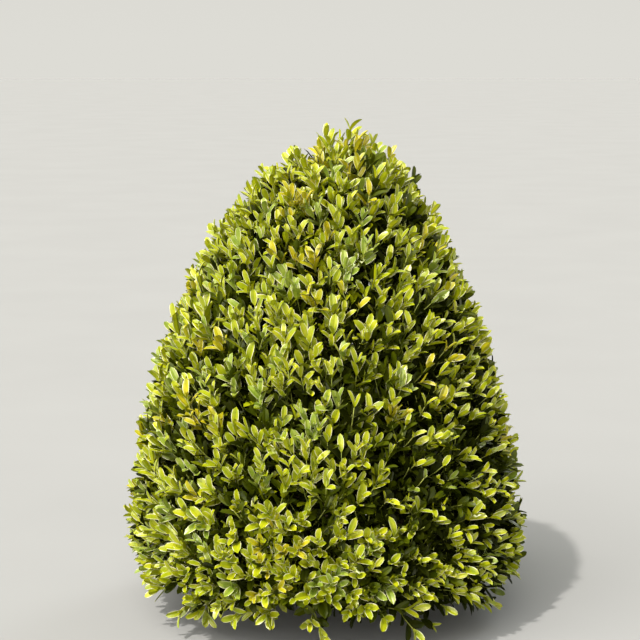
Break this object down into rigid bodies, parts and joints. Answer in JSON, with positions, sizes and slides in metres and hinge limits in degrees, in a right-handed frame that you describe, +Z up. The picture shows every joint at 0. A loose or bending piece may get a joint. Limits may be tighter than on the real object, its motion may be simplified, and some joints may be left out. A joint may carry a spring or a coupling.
{
  "type": "boxwood cone topiary",
  "caption": "Clipped boxwood shrub in a round-topped cone: a short forked stem with boughs carrying dense leafy foliage down to the ground.",
  "frame": {"origin": "middle of the flat cut under the stem, at ground level", "axes": "+Z up along the stem to the crown's tip; -Y is the side that the picture shows; +X is its right, towards which the tip leans"},
  "size_m": [0.5047, 0.5033, 0.6186],
  "materials": {
    "bark": "rough, finely furrowed grey-brown bark",
    "foliage": "glossy yellow-green leaves over darker green"
  },
  "bodies": {
    "root": {"stem": "bark", "bough_1": "bark", "bough_2": "bark", "bough_3": "bark", "bough_4": "bark", "bough_5": "bark", "foliage_side_1": "foliage", "foliage_side_2": "foliage", "foliage_side_3": "foliage", "foliage_side_4": "foliage", "foliage_side_5": "foliage", "foliage_top": "foliage"}
  },
  "joints": []
}
